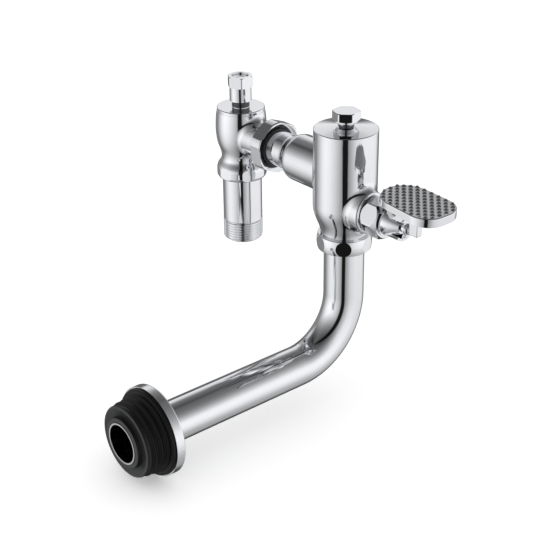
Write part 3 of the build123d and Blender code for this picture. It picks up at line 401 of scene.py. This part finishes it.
def neck_shade_mask(foot, radius):
    """Makes a mask that is 1 above the foot's level and nearer than the radius to the upright line through it: where
    the neck gets painted shade.
    """
    def mask(plate, place):
        from_foot = plate.node("ShaderNodeVectorMath", {"operation": "SUBTRACT"}, {0: place, 1: foot})
        level = plate.node("ShaderNodeVectorMath", {"operation": "MULTIPLY"}, {0: from_foot, 1: (1.0, 1.0, 0.0)})
        span = plate.node("ShaderNodeVectorMath", {"operation": "LENGTH"}, {0: level}, output=1)
        above = plate.node("ShaderNodeSeparateXYZ", None, {0: from_foot}, output=2)
        inside = plate.node("ShaderNodeMath", {"operation": "LESS_THAN"}, {0: span, 1: radius})
        return plate.node("ShaderNodeMath", {"operation": "GREATER_THAN"}, {0: above, 1: 0.0}) * inside
    return mask


dress("pedal", chrome("trodden_chrome", *TURNED, tread_mask, SATIN))
# Each neck gets painted shade under its cap.
for member, neck_x, neck_z, neck_r in NECKS:
    shade_round_neck = neck_shade_mask(in_node(member, neck_x, neck_z), neck_r * MM)
    dress(member, chrome("necked_" + member, *TURNED, shade_round_neck, NECK_SHADE_COLOUR))
print("satin tread and", len(NECKS), "dark necks")

# %% [markdown]
# The supply tail and the rubber connector are both turned pieces. Blender's Spin tool or Screw modifier could make
# them, but one grid of points does too: its rows follow a profile, its columns go round the axis, and the radius may
# differ from column to column, which a screw thread needs.

# %% A turned surface
TURNS = 96
UPRIGHT = np.eye(3)
ALONG_PIPE = np.array([[1.0, 0.0, 0.0], [0.0, 0.0, 1.0], [0.0, -1.0, 0.0]])


def revolved_grid(name, radii, heights, body, material, axes=UPRIGHT, origin=(0.0, 0.0, 0.0)):
    """Closed surface of (row, column) points, with its rows along a profile and its columns round the axis.

    x = r cos(turn), y = r sin(turn), z = height. The rows of axes say where x, y and z point.
    """
    rows, columns = radii.shape
    turn = np.linspace(0.0, 2.0 * np.pi, columns, endpoint=False)
    points = np.stack([radii * np.cos(turn), radii * np.sin(turn), heights], axis=2).reshape(-1, 3)
    points = (points @ axes + np.array(origin)) * MM
    row, column = np.meshgrid(np.arange(rows), np.arange(columns), indexing="ij")
    after, beside = (row + 1) % rows, (column + 1) % columns
    faces = np.stack([row * columns + column, row * columns + beside, after * columns + beside,
                      after * columns + column], axis=2).reshape(-1, 4)
    mesh = bpy.data.meshes.new(name)
    mesh.from_pydata(points.tolist(), [], faces.tolist())
    mesh.shade_smooth()
    mesh.set_sharp_from_angle(angle=math.radians(40))
    piece = bpy.data.objects.new(name, mesh)
    bpy.context.scene.collection.objects.link(piece)
    piece.data.materials.append(material)
    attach(piece, body)
    return piece


print("each turned surface has", TURNS, "columns")

# %% [markdown]
# The supply tail is a G1 pipe end, with eleven threads to the inch. The solid model leaves it plain at its major
# diameter, because a cut thread makes a solid heavy. Here the outside rises and falls once per pitch along the screw
# line. The first turn is cut back for the start of the nut, and the last ones run out into the plain part.

# %% Threaded supply tail
MAJOR_R, ROOT_R, PLAIN_R, BORE_R = 16.625, 15.30, 16.45, 13.0
PITCH = 25.4 / 11.0
STEPS_PER_PITCH = 14.0
FLAT_SHARE, FLANK_SHARE = 0.16, 0.68
THREAD_TOP, TAIL_TOP = 18.0, 65.5
START_SLOPE = 0.9
RUN_OUT, RUN_OUT_LENGTH = 2.6, 2.4
turn = np.linspace(0.0, 2.0 * np.pi, TURNS, endpoint=False)
screw_z = np.arange(0.0, THREAD_TOP, PITCH / STEPS_PER_PITCH)[:, None]
ridge = np.abs(2.0 * np.mod(screw_z / PITCH - turn / (2.0 * np.pi), 1.0) - 1.0)
screw_r = ROOT_R + (MAJOR_R - ROOT_R) * np.clip((ridge - FLAT_SHARE) / FLANK_SHARE, 0.0, 1.0)
screw_r = np.minimum(screw_r, ROOT_R + START_SLOPE * screw_z)
ended = np.clip((screw_z - THREAD_TOP + RUN_OUT) / RUN_OUT_LENGTH, 0.0, 1.0)
screw_r = np.minimum(np.maximum(screw_r, ROOT_R + (PLAIN_R - ROOT_R) * ended), MAJOR_R)
plain_r = np.array([PLAIN_R, PLAIN_R, PLAIN_R, BORE_R, BORE_R, BORE_R, BORE_R + 1.0])[:, None]
plain_z = np.array([THREAD_TOP, 40.0, TAIL_TOP, TAIL_TOP, 30.0, 1.0, 0.0])[:, None]
tail_r = np.vstack([screw_r, np.repeat(plain_r, TURNS, axis=1)])
tail_z = np.repeat(np.vstack([screw_z, plain_z]), TURNS, axis=1)
tail = revolved_grid("threaded_tail", tail_r, tail_z, "valve", turned_chrome)
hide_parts("inlet_tail")
print("supply tail with", int(THREAD_TOP / PITCH), "turns and", len(tail.data.polygons), "faces")

# %% [markdown]
# The connector at the pipe's end is black moulded rubber: almost no colour, a soft wide highlight and the faint
# grain of its mould. Its colour also carries painted light and shade: its sides are darker than the other rubber, as
# painted shade, and its front face is paler, as painted light from the front. A second material on the front faces
# would show a hard edge, so a mask follows the shape instead: the dished face and the front of the collar get the
# painted light, the collar's side and the ribs keep the painted shade.

# %% Rubber of the connector, with painted light and shade
OUTLET_Z = -55.0
DISH_FOOT_R, DISH_STATION, DISH_SLOPE = 20.3, 209.4, 0.667
COLLAR_TIP = 216.05
# The pale colour is painted light on the connector's front face.
PAINTED_FACE_LIGHT = (0.050, 0.051, 0.053, 1.0)


def soft_step(bench, value, start, end):
    """0 below the start, 1 above the end, and an S between them. Both are in millimetres."""
    return bench.node("ShaderNodeMapRange", {"interpolation_type": "SMOOTHSTEP"}, {
        "Value": value, "From Min": start * MM, "From Max": end * MM})


def lit_face_mask(bench, place):
    """1 on the dished face and on the collar's front, where the painted light goes; 0 on the collar's side and the
    ribs, which keep the painted shade. It comes from the distance down the pipe and the one from its axis.

    The dish is the cone where down_pipe = DISH_STATION + DISH_SLOPE (from_axis - DISH_FOOT_R).
    """
    down_pipe = 0.0 - bench.node("ShaderNodeSeparateXYZ", None, {0: place}, output=1)
    flat = bench.node("ShaderNodeVectorMath", {"operation": "MULTIPLY"}, {0: place, 1: (1.0, 0.0, 1.0)})
    from_axis = bench.node("ShaderNodeVectorMath", {"operation": "DISTANCE"}, {
        0: flat, 1: (VALVE_X * MM, 0.0, OUTLET_Z * MM)}, output=1)
    past_dish = down_pipe - from_axis * DISH_SLOPE + (DISH_FOOT_R * DISH_SLOPE - DISH_STATION) * MM
    on_face = soft_step(bench, past_dish, -2.2, -1.2)
    off_collar = soft_step(bench, from_axis, DISH_FOOT_R - 0.4, DISH_FOOT_R)
    on_tip = soft_step(bench, down_pipe, COLLAR_TIP - 0.8, COLLAR_TIP - 0.3)
    return on_face * bench.node("ShaderNodeMath", {"operation": "MAXIMUM"}, {0: off_collar, 1: on_tip})


# The two dark tones are painted shade on the connector's sides, darker than the other rubber; the mask adds painted
# light on the front.
moulded = plain_finish("rubber_with_painted_light", ((0.003, 0.003, 0.0035), (0.006, 0.006, 0.0065)), 0.30, 0.0, 0.0009, 0.02,
                       0.22, lit_face_mask, PAINTED_FACE_LIGHT)
print("rubber with a pale front of", len(moulded.node_tree.nodes), "nodes")

# %% [markdown]
# The connector has no sharp edge on it. Its outline runs from the pipe, out over the disc that lies in the metal
# cup, along rounded ribs that grow towards the wall, round the front face and back over the collar. A Bevel modifier
# could round it, but cutting the corners of the outline twice does so before there is a mesh.

# %% Rubber connector
PIPE_R, DISC_R = 16.05, 33.5
RIBS_START, RIBS_END, RIB_PITCH = 195.2, 208.4, 5.6
RIB_R, RIB_TAPER, RIB_HEIGHT = 29.2, 0.12, 1.0


def softened(points, corner):
    """Closed (radius, station) outline with every corner cut to two points, by the corner or a third of a side."""
    points = np.array(points)
    to_next = np.roll(points, -1, axis=0) - points
    length = np.linalg.norm(to_next, axis=1, keepdims=True)
    cut = np.minimum(corner / length, 1.0 / 3.0)
    before, after = points - np.roll(to_next * cut, 1, axis=0), points + to_next * cut
    return np.stack([before, after], axis=1).reshape(-1, 2)


rib_stations = np.linspace(RIBS_START, RIBS_END, 45)
rib_phase = 2.0 * np.pi * (rib_stations - RIBS_START) / RIB_PITCH
rib_radii = RIB_R - RIB_TAPER * (rib_stations - RIBS_START) + RIB_HEIGHT * np.cos(rib_phase)
outline = [(PIPE_R, 185.6), (DISC_R, 185.6), (DISC_R, 194.0), (32.8, 194.9), (29.9, 195.1)]
outline += list(zip(rib_radii, rib_stations))
outline += [(27.6, 209.2), (27.8, 212.0), (27.0, 213.1), (26.0, 213.2), (DISH_FOOT_R, DISH_STATION),
            (19.8, 215.2), (18.9, 216.0), (16.6, COLLAR_TIP), (PIPE_R, 215.6)]
outline = softened(softened(outline, 0.35), 0.15)
rubber_r = np.repeat(outline[:, :1], TURNS, axis=1)
station = np.repeat(outline[:, 1:], TURNS, axis=1)
connector = revolved_grid("rubber_connector", rubber_r, station, "valve", moulded, ALONG_PIPE,
                          (VALVE_X, 0.0, OUTLET_Z))
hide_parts("pan_spud")
print("rubber connector with", len(connector.data.polygons), "faces")
